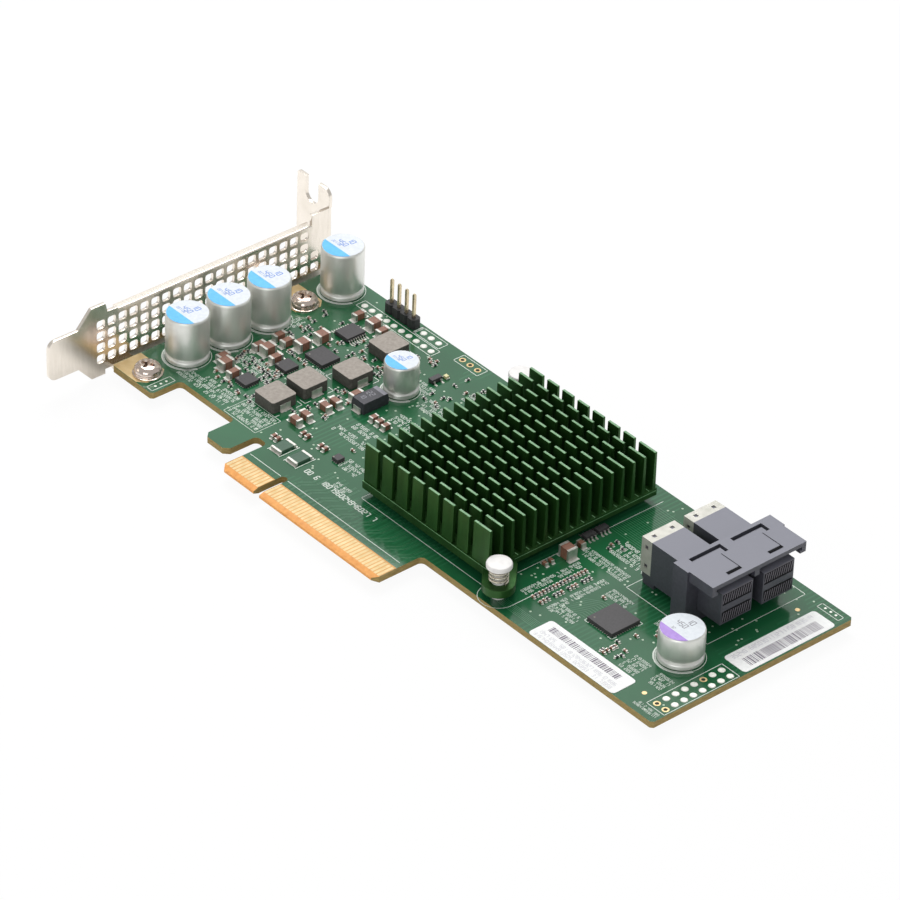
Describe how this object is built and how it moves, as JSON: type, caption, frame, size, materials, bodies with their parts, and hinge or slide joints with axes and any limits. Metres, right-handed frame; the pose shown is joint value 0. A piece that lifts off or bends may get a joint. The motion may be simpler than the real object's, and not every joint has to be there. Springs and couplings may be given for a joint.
{
  "type": "host bus adapter card",
  "caption": "Low-profile slot card: green circuit board with slot fingers, perforated folded bracket, green pin-fin heatsink and a two-port drive connector.",
  "frame": {"origin": "centre of the key notch, at the edge that enters the slot, on the component side face of the board", "axes": "+X along the card from the bracket to the drive ports, +Y up from the slot fingers, +Z out of the component side"},
  "size_m": [0.1799, 0.0799, 0.0236],
  "materials": {
    "board_green": "satin",
    "bracket_steel": "satin",
    "screw_steel": "satin",
    "chip_black": "matte",
    "pad_grey": "matte",
    "sink_green": "satin",
    "pin_cream": "satin",
    "can_silver": "satin",
    "header_black": "matte",
    "contact_gold": "polished",
    "connector_grey": "matte",
    "clip_steel": "satin",
    "inductor_grey": "matte",
    "tin_plate": "satin",
    "tantalum_brown": "matte",
    "ceramic_brown": "satin",
    "lamp_clear": "satin",
    "fuse_green": "matte",
    "label_white": "matte",
    "silk_white": "matte",
    "spring_steel": "satin",
    "solder": "satin"
  },
  "bodies": {
    "root": {"circuit_board": "board_green", "io_bracket": "bracket_steel", "bracket_screws": "screw_steel", "controller_chip": "chip_black", "thermal_pad": "pad_grey", "heatsink": "sink_green", "push_pins": "pin_cream", "capacitor_cans": "can_silver", "header_housing": "header_black", "header_pins": "contact_gold", "connector_housing": "connector_grey", "contact_module_1": "connector_grey", "contact_module_2": "connector_grey", "module_clip_1": "clip_steel", "module_clip_2": "clip_steel", "inductor_1": "inductor_grey", "inductor_2": "inductor_grey", "inductor_3": "inductor_grey", "inductor_4": "inductor_grey", "inductor_terminals": "tin_plate", "tantalum_terminals": "tin_plate", "tantalum_capacitor": "tantalum_brown", "timing_chip": "chip_black", "driver_chip": "chip_black", "sense_chip": "chip_black", "transistor": "chip_black", "power_chip_1": "chip_black", "power_chip_2": "chip_black", "power_chip_3": "chip_black", "logic_chip": "chip_black", "sensor_chip": "chip_black", "indicator_lamp": "lamp_clear", "fuses": "fuse_green", "small_ceramics": "ceramic_brown", "medium_ceramics": "ceramic_brown", "large_ceramics": "ceramic_brown", "wide_ceramics": "ceramic_brown", "tall_ceramics": "ceramic_brown", "bottom_label": "label_white", "end_label": "label_white"}
  },
  "joints": []
}
